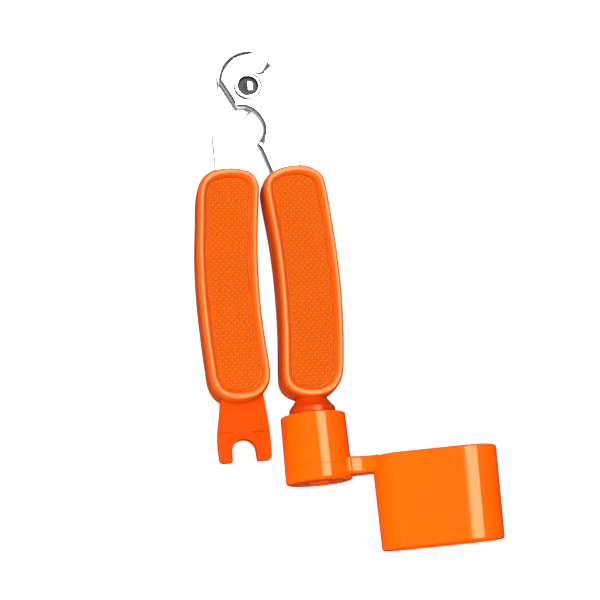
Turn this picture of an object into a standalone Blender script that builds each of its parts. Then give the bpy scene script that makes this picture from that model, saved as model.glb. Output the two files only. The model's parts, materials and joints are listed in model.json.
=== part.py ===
"""String winder for stringed instruments: a peg winder, a string cutter and a bridge-pin puller on one plier-type body.

The tool lies flat: X to the right, Y along the winder's axis towards the jaws, Z up. The origin is the middle of
the tool's footprint, at its lowest point. All constants are in millimetres, and XY positions are measured from
the jaw pivot; Z is measured from the joint plane between the two blades.
"""
import math

import bmesh
import bpy
from mathutils import Matrix, Vector

MM = 0.001
GAP = 0.3                       # clearance between touching pieces

# Place of the pivot (joint plane of the blades) above the origin
PIVOT_X, PIVOT_Y, PIVOT_Z = -21.389, 70.272, 10.286

# Blades
BLADE_T = 2.4                   # thickness of each stamping
BLADE_Z = 0.15                  # half of the running gap between them
CROWN_C, CROWN_R = (1.6, 2.0), 10.8   # centre and radius of the jaw's back
NOTCH_AXIS = 85.0               # degrees: the rear notch mirrors the front one about this ray
TANG_END = -62.0
TANG_PIN_R = 1.5
TANG_PIN_Y = (-40.0, -55.0)

# Pivot
RIVET_SHAFT_R, RIVET_HOLE_R = 1.6, 1.9
DOME_R, DOME_H = 3.1, 1.9
WASHER_R, WASHER_T = 4.7, 0.8
TAIL_R, TAIL_H = 2.7, 1.0

# Grips
GRIP_TOP, GRIP_BOTTOM = -29.2, -105.1
GRIP_HALF_Z = 6.0
GRIP_ROUND = 2.4                # edge radius of the outer rim
RIM_W = 3.1                     # rim width round the pad
PAD_FLOOR, PAD_TOP = 4.7, 5.7
CORE_INSET, CORE_HALF_Z = 4.2, 3.2
PEG_R = 1.5

# Pin-puller fork
FORK_HALF_Z = 2.1
FORK_STEP = 0.5                 # depth of the thinner leg faces
FORK_C, FORK_NOTCH_R = (-11.65, -119.95), 3.75
FORK_TIP = -122.95

# Winder
AXIS_X = 10.8                   # swivel axis, parallel to Y
HUB_R_TOP, HUB_R_BOTTOM = 10.1, 10.3
HUB_TOP, HUB_BOTTOM = -110.3, -131.1
SPINDLE_R, SPINDLE_END = 4.5, -126.5
STEM_R, NECK_R, FLANGE_R = 3.0, 4.75, 7.2
CHAMBER_R, CHAMBER_END = 5.5, -129.3
CAP_R = 6.4
SWIVEL = 12.0                   # degrees the winder stands turned up at rest, its head towards the front
ARM_TOP, ARM_BOTTOM, ARM_HALF_Z = -124.45, -129.8, 4.2
ARM_WAIST = (14.3, 15.0)        # the arm is thinnest between these distances from the axis, and swells at both ends
ARM_HUB_SWELL, ARM_HEAD_SWELL = 9.4, 3.4   # radii of the two swells
ARM_EDGE = 0.8
HEAD_LEFT, HEAD_RIGHT = 16.7, 54.95        # from the swivel axis, at the roof
HEAD_TOP, HEAD_BOTTOM = -125.1, -153.45
HEAD_HALF_Z, HEAD_CORNER = 9.3, 8.3
HEAD_DRAFT = 1.3                # how much the free side draws in towards the mouth
HEAD_WALL, HEAD_ROOF = 2.1, 2.6

ORANGE = (1.0, 0.17, 0.005, 1.0)
STEEL = (0.82, 0.82, 0.83, 1.0)

# ---------------------------------------------------------------- scene
for old in list(bpy.data.objects):
    bpy.data.objects.remove(old, do_unlink=True)

parts = bpy.data.collections.new("string_winder")
cutters = bpy.data.collections.new("cutters")
for c in (parts, cutters):
    bpy.context.scene.collection.children.link(c)


def empty(name, at, parent=None):
    e = bpy.data.objects.new(name, None)
    e.empty_display_size = 0.01
    parts.objects.link(e)
    e.parent = parent
    e.location = [v * MM for v in at]
    return e


# every moving body hangs on an empty on its own axis
right_handle = empty("right_handle_body", (PIVOT_X, PIVOT_Y, PIVOT_Z))
left_handle = empty("left_handle_pivot", (0, 0, 0), right_handle)
winder = empty("winder_swivel", (AXIS_X, 0, 0), right_handle)
winder.rotation_euler = (0, math.radians(-SWIVEL), 0)


def material(name, colour, rough, metal=0.0):
    m = bpy.data.materials.new(name)
    m.use_nodes = True
    b = m.node_tree.nodes["Principled BSDF"]
    b.inputs["Base Color"].default_value = colour
    b.inputs["Roughness"].default_value = rough
    b.inputs["Metallic"].default_value = metal
    return m


# ---------------------------------------------------------------- outlines
def arc(c, r, a0, a1, n):
    return [(c[0] + r * math.cos(math.radians(a0 + (a1 - a0) * i / n)),
             c[1] + r * math.sin(math.radians(a0 + (a1 - a0) * i / n))) for i in range(n + 1)]


def smooth(pts, n=4, closed=False):
    """A Catmull-Rom curve through the sketch points, n steps a span."""
    out, count = [], len(pts)
    spans = count if closed else count - 1
    for i in range(spans):
        p = [pts[(i + k) % count] if closed else pts[min(max(i + k, 0), count - 1)] for k in (-1, 0, 1, 2)]
        for s in range(n):
            t = s / n
            out.append(tuple(0.5 * (2 * p[1][d] + (p[2][d] - p[0][d]) * t
                                    + (2 * p[0][d] - 5 * p[1][d] + 4 * p[2][d] - p[3][d]) * t * t
                                    + (3 * p[1][d] - p[0][d] - 3 * p[2][d] + p[3][d]) * t ** 3) for d in (0, 1)))
    if not closed:
        out.append(pts[-1])
    return out


def mirror_about(pts, degrees):
    a = math.radians(2 * degrees)
    return [(x * math.cos(a) + y * math.sin(a), x * math.sin(a) - y * math.cos(a)) for x, y in pts]


def area(pts):
    return sum(a[0] * b[1] - b[0] * a[1] for a, b in zip(pts, pts[1:] + pts[:1])) / 2


def inset(pts, d):
    """The outline moved inwards by d (outwards if d is negative)."""
    sign = 1 if area(pts) > 0 else -1
    out, n = [], len(pts)
    for i in range(n):
        a, b, c = (Vector(pts[(i + k) % n]) for k in (-1, 0, 1))
        u, v = (b - a).normalized(), (c - b).normalized()
        m = (u + v).normalized()
        nrm = Vector((-m.y, m.x)) * sign
        grow = 1 / max(0.6, abs(m.dot(u)))
        q = b + nrm * d * grow
        out.append((q.x, q.y))
    return out


def clean(pts, least=0.05):
    out = []
    for p in pts:
        if not out or math.dist(p, out[-1]) > least:
            out.append(p)
    if math.dist(out[0], out[-1]) <= least:
        out.pop()
    return out


# ---------------------------------------------------------------- solids
def to_mesh(obj, name, coll):
    """The curve as a mesh object with its caps welded."""
    bpy.context.view_layer.update()
    graph = bpy.context.evaluated_depsgraph_get()
    me = bpy.data.meshes.new_from_object(obj.evaluated_get(graph))
    bm = bmesh.new()
    bm.from_mesh(me)
    bmesh.ops.remove_doubles(bm, verts=bm.verts, dist=1e-6)
    bmesh.ops.recalc_face_normals(bm, faces=bm.faces)
    bm.to_mesh(me)
    bm.free()
    place = obj.matrix_world.copy()
    bpy.data.objects.remove(obj, do_unlink=True)
    me.name = name
    new = bpy.data.objects.new(name, me)
    coll.objects.link(new)
    new.matrix_world = place
    return new


def plate(name, pts, z0, z1, coll=None, bevel=0.0, rows=2):
    """A flat outline raised from z0 to z1, its edges rounded by bevel."""
    pts = clean(pts)
    cu = bpy.data.curves.new(name, "CURVE")
    cu.dimensions = "2D"
    cu.fill_mode = "BOTH"
    cu.extrude = ((z1 - z0) / 2 - bevel) * MM
    cu.bevel_depth = bevel * MM
    cu.bevel_resolution = rows
    cu.offset = -bevel * MM
    sp = cu.splines.new("POLY")
    sp.points.add(len(pts) - 1)
    for p, q in zip(sp.points, pts):
        p.co = (q[0] * MM, q[1] * MM, 0, 1)
    sp.use_cyclic_u = True
    ob = bpy.data.objects.new(name, cu)
    (coll or parts).objects.link(ob)
    ob.location = (0, 0, (z0 + z1) / 2 * MM)
    return to_mesh(ob, name, coll or parts)


def box(name, lo, hi, coll=None):
    bm = bmesh.new()
    bmesh.ops.create_cube(bm, size=1.0)
    for v in bm.verts:
        v.co = Vector([(lo[i] + hi[i]) / 2 + v.co[i] * (hi[i] - lo[i]) for i in range(3)]) * MM
    return from_bm(name, bm, coll)


def from_bm(name, bm, coll=None):
    me = bpy.data.meshes.new(name)
    bm.to_mesh(me)
    bm.free()
    ob = bpy.data.objects.new(name, me)
    (coll or parts).objects.link(ob)
    return ob


def rod(name, r, at, z0, z1, coll=None, segments=20):
    """A round bar along Z at the XY position `at`."""
    bm = bmesh.new()
    bmesh.ops.create_cone(bm, cap_ends=True, segments=segments, radius1=r * MM, radius2=r * MM, depth=(z1 - z0) * MM)
    bmesh.ops.translate(bm, verts=bm.verts, vec=Vector((at[0], at[1], (z0 + z1) / 2)) * MM)
    return from_bm(name, bm, coll)


def turned(name, profile, axis="Z", at=(0, 0, 0), steps=32, coll=None):
    """A profile of (radius, height), top to bottom, turned about its axis. Axis Y stands for a shape turned about
    the swivel axis, whose heights are then positions along Y."""
    bm = bmesh.new()
    vs = [bm.verts.new((r * MM, 0, h * MM)) for r, h in profile]
    for a, b in zip(vs, vs[1:]):
        bm.edges.new((a, b))
    ob = from_bm(name, bm, coll)
    s = ob.modifiers.new("turn", "SCREW")
    s.axis, s.angle, s.screw_offset = "Z", math.radians(360), 0
    s.steps = s.render_steps = steps
    s.use_merge_vertices, s.merge_threshold = True, 1e-6
    if axis == "Y":
        ob.rotation_euler = (math.radians(-90), 0, 0)
    ob.location = [v * MM for v in at]
    return to_mesh_modified(ob, name, coll or parts)


def to_mesh_modified(ob, name, coll):
    """The object with its modifiers and its place applied."""
    bpy.context.view_layer.update()
    graph = bpy.context.evaluated_depsgraph_get()
    me = bpy.data.meshes.new_from_object(ob.evaluated_get(graph))
    me.transform(ob.matrix_world)
    bm = bmesh.new()
    bm.from_mesh(me)
    bmesh.ops.remove_doubles(bm, verts=bm.verts, dist=1e-6)
    bmesh.ops.recalc_face_normals(bm, faces=bm.faces)
    bm.to_mesh(me)
    bm.free()
    bpy.data.objects.remove(ob, do_unlink=True)
    me.name = name
    new = bpy.data.objects.new(name, me)
    coll.objects.link(new)
    return new


def bake_place(ob):
    """Moves an unparented object's place into its mesh."""
    bpy.context.view_layer.update()
    ob.data.transform(ob.matrix_world)
    ob.matrix_world = Matrix.Identity(4)


def combine(ob, other, operation):
    other.hide_render = True
    other.display_type = "WIRE"
    for c in list(other.users_collection):
        c.objects.unlink(other)
    cutters.objects.link(other)
    m = ob.modifiers.new(operation.lower() + "_" + other.name, "BOOLEAN")
    m.operation, m.solver, m.object = operation, "EXACT", other


def cut(ob, *others):
    for o in others:
        combine(ob, o, "DIFFERENCE")


def join(ob, *others):
    for o in others:
        combine(ob, o, "UNION")


def finish(ob, parent, mat, shift=(0, 0, 0), sharp=35.0):
    """Applies the modelling, hangs the piece on its body and smooths its round faces."""
    bpy.context.view_layer.update()
    graph = bpy.context.evaluated_depsgraph_get()
    me = bpy.data.meshes.new_from_object(ob.evaluated_get(graph))
    me.transform(ob.matrix_world)
    me.transform(Matrix.Translation(Vector(shift) * -MM))
    ob.modifiers.clear()
    ob.data = me
    ob.matrix_world = Matrix.Identity(4)
    ob.parent = parent
    me.materials.clear()
    me.materials.append(mat)
    me.shade_smooth()
    me.set_sharp_from_angle(angle=math.radians(sharp))
    return ob


satin_orange = material("satin_orange_plastic", ORANGE, 0.42)
gloss_orange = material("gloss_orange_plastic", ORANGE, 0.16)
pad_orange = material("textured_orange_pad", ORANGE, 0.5)
steel = material("stamped_stainless", STEEL, 0.22, 1.0)
chrome = material("pivot_chrome", (0.9, 0.9, 0.9, 1.0), 0.06, 1.0)
zinc = material("zinc_plated", (0.7, 0.7, 0.7, 1.0), 0.3, 1.0)

# ---------------------------------------------------------------- blades
# The string notch: cutting edge, bottom, then the scoop up to the hook.
NOTCH = [(3.75, 11.6), (2.8, 10.1), (2.05, 8.4), (1.95, 7.3), (2.3, 6.1), (3.2, 5.4), (4.3, 5.2), (5.3, 5.8),
         (6.1, 6.9), (7.1, 8.6)]
HOOK = [(7.8, 9.8), (8.4, 10.1), (9.0, 9.5)]

front_outline = (
    [(3.3, 12.4)] + arc(CROWN_C, CROWN_R, 87, 178, 14)
    + smooth([(-8.35, 0.9), (-4.75, -6.0), (-4.2, -6.65), (-3.2, -6.85), (-1.2, -6.95)], 2)
    + smooth([(0.9, -8.1), (2.6, -10.0), (3.8, -12.4), (4.15, -14.8), (3.4, -17.4), (1.5, -20.2)], 4)
    + smooth([(2.5, -22.2), (3.7, -26.0), (5.3, -31.5), (6.4, -38.0), (6.8, -48.0), (7.0, TANG_END)], 2)
    + smooth([(15.6, TANG_END), (15.8, -48.0), (14.9, -36.0), (14.1, -28.2), (14.25, -18.5), (13.9, -10.2),
              (12.8, -6.3), (11.4, -3.7), (10.5, -0.8), (10.3, 2.2), (10.2, 5.2), (9.7, 8.0)], 3)
    + smooth(HOOK[::-1], 2)
    + smooth(NOTCH[::-1], 3))

rear_outline = (
    mirror_about(smooth(NOTCH, 3)[::-1], NOTCH_AXIS)[::-1][:-4]
    + [(-5.75, 9.55), (-6.4, 9.5)]
    + smooth([(-7.9, 8.2), (-9.2, 6.2), (-9.65, 3.6), (-9.5, 0.6), (-10.5, -3.8), (-11.6, -6.7), (-12.45, -11.6),
              (-12.75, -18.2), (-12.7, -27.0), (-13.6, -36.0), (-14.6, -48.0), (-14.9, TANG_END)], 3)
    + smooth([(-6.3, TANG_END), (-6.0, -48.0), (-5.0, -38.0), (-3.2, -31.0), (-1.5, -25.3), (0.5, -19.2)], 3)
    + smooth([(-0.8, -17.3), (-2.0, -15.0), (-2.25, -12.4), (-1.6, -10.0), (-0.2, -8.0), (1.6, -6.8)], 4)
    + [(4.0, -6.7), (5.2, -5.9), (8.8, 1.5)]
    + smooth([(9.6, 2.6), (9.7, 6.0), (9.2, 9.2), (8.0, 11.1), (4.2, 12.8), (1.0, 12.7), (-1.2, 12.45)], 3))

front_blade = plate("front_blade", front_outline, BLADE_Z, BLADE_Z + BLADE_T)
cut(front_blade, rod("front_pivot_hole", RIVET_HOLE_R, (0, 0), -1, 6, cutters),
    *[rod("front_tang_hole_%d" % i, TANG_PIN_R + GAP, (11.2, y), -1, 6, cutters) for i, y in enumerate(TANG_PIN_Y)])

rear_blade = plate("rear_blade", rear_outline, -BLADE_Z - BLADE_T, -BLADE_Z)
cut(rear_blade, rod("rear_pivot_hole", RIVET_HOLE_R, (0, 0), -6, 1, cutters),
    *[rod("rear_tang_hole_%d" % i, TANG_PIN_R + GAP, (-9.9, y), -6, 1, cutters) for i, y in enumerate(TANG_PIN_Y)])

front_tang = [p for p in front_outline if p[1] < -26]
rear_tang = [p for p in rear_outline if p[1] < -26]

# ---------------------------------------------------------------- pivot
stack = BLADE_Z + BLADE_T
washer_front = turned("pivot_washer_front", [
    (RIVET_HOLE_R, stack + GAP + WASHER_T), (WASHER_R - 0.3, stack + GAP + WASHER_T),
    (WASHER_R, stack + GAP + WASHER_T - 0.3), (WASHER_R, stack + GAP), (RIVET_HOLE_R, stack + GAP),
    (RIVET_HOLE_R, stack + GAP + WASHER_T)])
washer_rear = turned("pivot_washer_rear", [
    (RIVET_HOLE_R, -stack - GAP), (WASHER_R, -stack - GAP), (WASHER_R, -stack - GAP - WASHER_T + 0.3),
    (WASHER_R - 0.3, -stack - GAP - WASHER_T), (RIVET_HOLE_R, -stack - GAP - WASHER_T),
    (RIVET_HOLE_R, -stack - GAP)])
seat = stack + 2 * GAP + WASHER_T
sphere_r = (DOME_R ** 2 + DOME_H ** 2) / (2 * DOME_H)
dome = [(sphere_r * math.sin(t), seat + DOME_H - sphere_r * (1 - math.cos(t)))
        for t in [math.asin(DOME_R / sphere_r) * i / 5 for i in range(6)]]
rivet = turned("pivot_rivet", dome + [
    (RIVET_SHAFT_R, seat), (RIVET_SHAFT_R, -seat), (TAIL_R, -seat), (TAIL_R - 0.15, -seat - 0.5 * TAIL_H),
    (TAIL_R - 0.8, -seat - 0.9 * TAIL_H), (0.0, -seat - TAIL_H)])

# ---------------------------------------------------------------- handles
def grip_outline(side):
    """A handle's outline: a bowed bar with broad, flattened ends. side is -1 for the left one."""
    t, b = GRIP_TOP, GRIP_BOTTOM
    if side < 0:
        sketch = [(-9.3, t), (-14.3, t - 0.75), (-18.0, t - 3.2), (-19.75, t - 7.6), (-20.7, -46.0), (-21.8, -58.0),
                  (-22.15, -70.0), (-21.85, -82.0), (-21.25, -93.0), (-20.75, b + 6.4), (-18.9, b + 2.6),
                  (-15.6, b + 0.5), (-11.2, b), (-6.6, b + 0.9), (-3.1, b + 4.0), (-1.85, b + 8.6), (-2.45, -86.0),
                  (-2.85, -74.0), (-2.4, -61.0), (-1.35, -49.0), (-0.05, t - 9.3), (0.1, t - 5.9), (-1.35, t - 2.6),
                  (-4.6, t - 0.6)]
    else:
        sketch = [(12.9, t + 0.3), (8.2, t - 0.3), (4.3, t - 2.1), (1.85, t - 5.0), (1.55, t - 9.3), (2.65, -51.0),
                  (3.2, -62.0), (3.15, -74.0), (2.65, -85.0), (1.75, -95.5), (1.75, b + 5.1), (3.3, b + 2.3),
                  (6.6, b + 0.4), (10.7, b - 0.3), (15.0, b + 0.2), (18.6, b + 2.4), (20.9, b + 6.6),
                  (22.1, -90.0), (22.95, -80.0), (23.4, -69.0), (23.25, -57.0), (22.6, -44.0), (21.95, t - 6.3),
                  (20.9, t - 3.0), (17.4, t - 0.6)]
    return smooth(sketch, 2, closed=True)


def handle(side, word, parent, tang, tang_z, pin_x, core_extra, exits):
    """One handle: a core with the blade's tang pinned in it, two grip shells round it and their two pads."""
    outer = grip_outline(side)
    core_out = inset(outer, CORE_INSET)
    z_in, z_out = (BLADE_Z, CORE_HALF_Z + 1) if side > 0 else (-CORE_HALF_Z - 1, BLADE_Z)
    if side > 0:
        z_in = -BLADE_Z
    core = plate(word + "_handle_core", core_out, -CORE_HALF_Z, CORE_HALF_Z)
    join(core, *core_extra)
    tang_room = plate(word + "_tang_slot", inset(tang, -GAP), z_in, z_out, cutters)
    cut(core, tang_room)
    pegs = {1: (-70.0, -90.0), -1: (-80.0, -97.0)}
    mid = {y: (x_at(outer, y)) for y in (-70.0, -80.0, -90.0, -97.0)}
    cut(core, *[rod("%s_pin_hole_%d" % (word, i), TANG_PIN_R + GAP, (pin_x, y), -5, 5, cutters)
                for i, y in enumerate(TANG_PIN_Y)])
    cut(core, *[rod("%s_peg_hole_%d" % (word, -y), PEG_R + GAP, (mid[y], y), -5, 5, cutters, 16) for y in mid])
    finish(core, parent, satin_orange)
    for i, y in enumerate(TANG_PIN_Y):
        finish(rod("%s_tang_pin_%s" % (word, ("upper", "lower")[i]), TANG_PIN_R, (pin_x, y),
                   -CORE_HALF_Z + 0.1, CORE_HALF_Z - 0.1), parent, zinc)
    for face, front in (("front", 1), ("back", -1)):
        shell = plate("%s_grip_%s" % (word, face), outer, -GRIP_HALF_Z, GRIP_HALF_Z, bevel=GRIP_ROUND, rows=2)
        lo, hi = (-9.0, BLADE_Z) if front > 0 else (-BLADE_Z, 9.0)
        cut(shell, box("%s_%s_half" % (word, face), (-40, -120, lo), (40, 0, hi), cutters),
            plate("%s_%s_pocket" % (word, face), inset(outer, CORE_INSET - GAP), -CORE_HALF_Z - GAP,
                  CORE_HALF_Z + GAP, cutters),
            plate("%s_%s_recess" % (word, face), inset(outer, RIM_W), *sorted((front * PAD_FLOOR, front * 9.0)),
                  cutters),
            plate("%s_%s_tang_exit" % (word, face), inset(tang, -GAP), -BLADE_Z - BLADE_T - GAP if side < 0 else -BLADE_Z,
                  BLADE_Z if side < 0 else BLADE_Z + BLADE_T + GAP, cutters),
            exits(face))
        join(shell, *[rod("%s_%s_peg_%d" % (word, face, -y), PEG_R, (mid[y], y),
                          *sorted((-front * (CORE_HALF_Z - 0.4), front * (CORE_HALF_Z + 1.0))), cutters, 16)
                      for y in pegs[front]])
        finish(shell, parent, satin_orange)
        pad = plate("%s_pad_%s" % (word, face), inset(outer, RIM_W + GAP),
                    *sorted((front * (PAD_FLOOR + GAP), front * PAD_TOP)))
        finish(pad, parent, pad_orange)


def x_at(outline, y):
    """Middle of the outline at this Y."""
    xs = [p[0] + (q[0] - p[0]) * (y - p[1]) / (q[1] - p[1])
          for p, q in zip(outline, outline[1:] + outline[:1]) if (p[1] > y) != (q[1] > y)]
    return (min(xs) + max(xs)) / 2


# Left handle: the core runs on into the pin-puller fork.
def fork_outline(grow=0.0):
    c, r = FORK_C, FORK_NOTCH_R
    left = smooth([(-17.0, -96.0), (-17.55, -103.0), (-18.1, -107.3), (-19.15, -113.2), (-19.45, -117.0),
                   (-19.35, FORK_TIP + 1.5)], 2)
    right = smooth([(-3.35, FORK_TIP + 1.3), (-3.25, -117.5), (-3.35, -113.2), (-3.75, -108.0), (-4.25, -103.0),
                    (-4.6, -96.0)], 2)
    notch = arc(c, r, 180, 0, 16)
    pts = (left + arc((-18.0, FORK_TIP + 1.3), 1.3, 190, 270, 3) + [(c[0] - r - 0.05, FORK_TIP)] + notch
           + [(c[0] + r + 0.4, FORK_TIP)] + arc((-4.65, FORK_TIP + 1.3), 1.3, 270, 350, 3) + right)
    return inset(clean(pts), -grow) if grow else pts


fork = plate("fork_plate", fork_outline(), -FORK_HALF_Z, FORK_HALF_Z, cutters)
left_step = [(-21.0, -113.75), (-14.0, -113.75), (-16.3, -116.3), (-15.9, -119.0), (-15.9, -125.0), (-21.0, -125.0)]
right_step = [(-1.0, -114.1), (-9.2, -114.1), (-6.95, -116.4), (-7.3, -119.0), (-7.2, -125.0), (-1.0, -125.0)]
for i, s in enumerate((left_step, right_step)):
    cut(fork, plate("fork_leg_step_front_%d" % i, s, FORK_HALF_Z - FORK_STEP, 6.0, cutters),
        plate("fork_leg_step_back_%d" % i, s, -6.0, -FORK_HALF_Z + FORK_STEP, cutters))


def fork_exit(face):
    return box("fork_exit_" + face, (-18.3, -112, -FORK_HALF_Z - GAP), (-3.6, -96, FORK_HALF_Z + GAP), cutters)


handle(-1, "left", left_handle, rear_tang, -1, -9.9, [fork], fork_exit)

# Right handle: the core runs on into a round neck, a flange and the winder's spindle.
neck = turned("neck_and_spindle", [
    (0.0, -96.0), (STEM_R, -96.0), (STEM_R, -102.6), (NECK_R, -102.6), (NECK_R, -104.6), (NECK_R + 0.5, -105.7), (FLANGE_R - 0.5, -107.6),
    (FLANGE_R, -108.3), (FLANGE_R, HUB_TOP + GAP), (SPINDLE_R, HUB_TOP + GAP), (SPINDLE_R, SPINDLE_END + 0.5),
    (SPINDLE_R - 0.5, SPINDLE_END), (0.0, SPINDLE_END)], "Y", (AXIS_X, 0, 0), coll=cutters)
pilot = turned("screw_pilot_hole", [
    (0.0, -116.0), (1.5, -116.0), (1.5, -128.0), (0.0, -128.0)], "Y", (AXIS_X, 0, 0), 24, cutters)


def neck_exit(face):
    return turned("neck_exit_" + face, [
        (0.0, -95.0), (STEM_R + GAP, -95.0), (STEM_R + GAP, -102.3), (NECK_R + GAP, -102.3),
        (NECK_R + GAP, -109.0), (0.0, -109.0)], "Y", (AXIS_X, 0, 0), 32, cutters)


cut(neck, pilot)
handle(1, "right", right_handle, front_tang, 1, 11.2, [neck], neck_exit)

# ---------------------------------------------------------------- winder
hub = turned("winder_crank", [
    (SPINDLE_R + GAP, HUB_TOP), (HUB_R_TOP - 0.5, HUB_TOP), (HUB_R_TOP, HUB_TOP - 0.5),
    (HUB_R_BOTTOM, HUB_BOTTOM + 0.4), (HUB_R_BOTTOM - 0.4, HUB_BOTTOM), (CAP_R + GAP, HUB_BOTTOM),
    (CAP_R + GAP, CHAMBER_END), (CHAMBER_R, CHAMBER_END), (CHAMBER_R, SPINDLE_END - 0.0),
    (SPINDLE_R + GAP, SPINDLE_END - 0.0), (SPINDLE_R + GAP, HUB_TOP)], "Y", (AXIS_X, 0, 0), 48)


def head_section(half_width, half_z, corner, mid_x):
    """A box section with rounded corners, in X and Z, as four quarter arcs."""
    out = []
    for qx, qz, a in ((1, 1, 0), (-1, 1, 90), (-1, -1, 180), (1, -1, 270)):
        out += [(mid_x + qx * (half_width - corner) + corner * math.cos(math.radians(a + 90 * i / 6)),
                 qz * (half_z - corner) + corner * math.sin(math.radians(a + 90 * i / 6))) for i in range(7)]
    return out


def drafted_block(name, top, bottom, y_top, y_bottom, roof_round=0.0, coll=None):
    """A loft along Y between two rounded sections, its roof edge rounded by roof_round."""
    rings = []
    if roof_round:
        for k in range(4):
            a = math.radians(90 * k / 3)
            d = roof_round * (1 - math.sin(a))
            hw, hz, c, mx = top
            rings.append((y_top - roof_round * (1 - math.cos(a)), (hw - d, hz - d, max(c - d, 0.5), mx)))
    else:
        rings.append((y_top, top))
    rings.append((y_bottom, bottom))
    bm = bmesh.new()
    loops = []
    for y, sec in rings:
        loops.append([bm.verts.new(Vector((x, y, z)) * MM) for x, z in head_section(*sec)])
    for a, b in zip(loops, loops[1:]):
        n = len(a)
        for i in range(n):
            bm.faces.new((a[i], a[(i + 1) % n], b[(i + 1) % n], b[i]))
    bm.faces.new(loops[0])
    bm.faces.new(loops[-1])
    bmesh.ops.recalc_face_normals(bm, faces=bm.faces)
    return from_bm(name, bm, coll)


def head_at(wall, y_share):
    """(half width, half thickness, corner, middle in X) of the head, wall inside its outside, at this share of its
    height below the roof."""
    left, right = AXIS_X + HEAD_LEFT + wall, AXIS_X + HEAD_RIGHT - HEAD_DRAFT * y_share - wall
    return (right - left) / 2, HEAD_HALF_Z - wall, HEAD_CORNER - wall, (right + left) / 2


def swollen_arm(name, coll):
    """The arm from the hub to the head: a bar with rounded edges, lofted along X, that swells into both."""
    bm, loops = bmesh.new(), []
    for x in (6.5, 10.2, 11.5, 12.9, 14.3, 15.0, 16.1, 17.2, 18.3, 19.4):
        z = ARM_HALF_Z
        if x < ARM_WAIST[0]:
            z += (ARM_WAIST[0] - max(x, 10.2)) ** 2 / (2 * ARM_HUB_SWELL)
        if x > ARM_WAIST[1]:
            z += (x - ARM_WAIST[1]) ** 2 / (2 * ARM_HEAD_SWELL)
        loop, mid, half = [], (ARM_TOP + ARM_BOTTOM) / 2, (ARM_TOP - ARM_BOTTOM) / 2
        for qy, qz, a in ((1, 1, 0), (-1, 1, 90), (-1, -1, 180), (1, -1, 270)):
            for i in range(3):
                t = math.radians(a + 45 * i)
                loop.append(bm.verts.new(Vector((AXIS_X + x, mid + qy * (half - ARM_EDGE) + ARM_EDGE * math.cos(t),
                                                 qz * (z - ARM_EDGE) + ARM_EDGE * math.sin(t))) * MM))
        loops.append(loop)
    for p, q in zip(loops, loops[1:]):
        n = len(p)
        for i in range(n):
            bm.faces.new((p[i], p[(i + 1) % n], q[(i + 1) % n], q[i]))
    bm.faces.new(loops[0])
    bm.faces.new(loops[-1])
    bmesh.ops.recalc_face_normals(bm, faces=bm.faces)
    return from_bm(name, bm, coll)


head = drafted_block("winder_head_block", head_at(0.0, 0.0), head_at(0.0, 1.0), HEAD_TOP, HEAD_BOTTOM, 0.8, cutters)
cup = drafted_block("winder_cup", head_at(HEAD_WALL, 0.0), head_at(HEAD_WALL, 1.0), HEAD_TOP - HEAD_ROOF,
                    HEAD_BOTTOM - 1.0, 0.0, cutters)
join(hub, swollen_arm("winder_arm", cutters), head)
cut(hub, cup)
finish(hub, winder, gloss_orange, (AXIS_X, 0, 0))

washer = turned("spindle_washer", [
    (1.6, SPINDLE_END - GAP), (CHAMBER_R - GAP, SPINDLE_END - GAP), (CHAMBER_R - GAP, SPINDLE_END - GAP - 0.7),
    (1.6, SPINDLE_END - GAP - 0.7), (1.6, SPINDLE_END - GAP)], "Y", (AXIS_X, 0, 0), 28)
finish(washer, right_handle, zinc)
under_head = SPINDLE_END - 2 * GAP - 0.7
screw = turned("spindle_screw", [
    (0.0, -116.5), (1.0, -117.2), (1.2, -118.0), (1.2, under_head), (2.9, under_head), (2.8, under_head - 0.6),
    (1.9, under_head - 1.1), (0.0, under_head - 1.2)], "Y", (AXIS_X, 0, 0), 20)
slot = box("screw_slot", (AXIS_X - 2.0, under_head - 3, -0.3), (AXIS_X + 2.0, under_head - 0.7, 0.3), cutters)
slot2 = box("screw_slot_across", (AXIS_X - 0.3, under_head - 3, -2.0), (AXIS_X + 0.3, under_head - 0.7, 2.0), cutters)
cut(screw, slot, slot2)
finish(screw, right_handle, zinc)
end_cap = turned("hub_end_cap", [
    (0.0, CHAMBER_END - GAP), (CAP_R, CHAMBER_END - GAP), (CAP_R, HUB_BOTTOM + 0.35), (CAP_R - 0.25, HUB_BOTTOM + 0.1),
    (0.0, HUB_BOTTOM + 0.1)], "Y", (AXIS_X, 0, 0), 32)
finish(end_cap, winder, gloss_orange, (AXIS_X, 0, 0))

for piece, parent, mat in ((front_blade, right_handle, steel), (rear_blade, left_handle, steel),
                           (washer_front, right_handle, chrome), (washer_rear, right_handle, chrome),
                           (rivet, right_handle, chrome)):
    finish(piece, parent, mat)

# the cutters have done their work once every piece is finished
for tool in list(cutters.objects):
    bpy.data.objects.remove(tool, do_unlink=True)
bpy.data.collections.remove(cutters)
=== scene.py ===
"""Looks of the string winder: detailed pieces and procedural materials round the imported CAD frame.

Shapes are sketched in millimetres from the jaw pivot, and become metres in the row frame.
"""
import json
import math

import bmesh
import bpy
import numpy as np
from mathutils import Matrix, Vector

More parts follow.
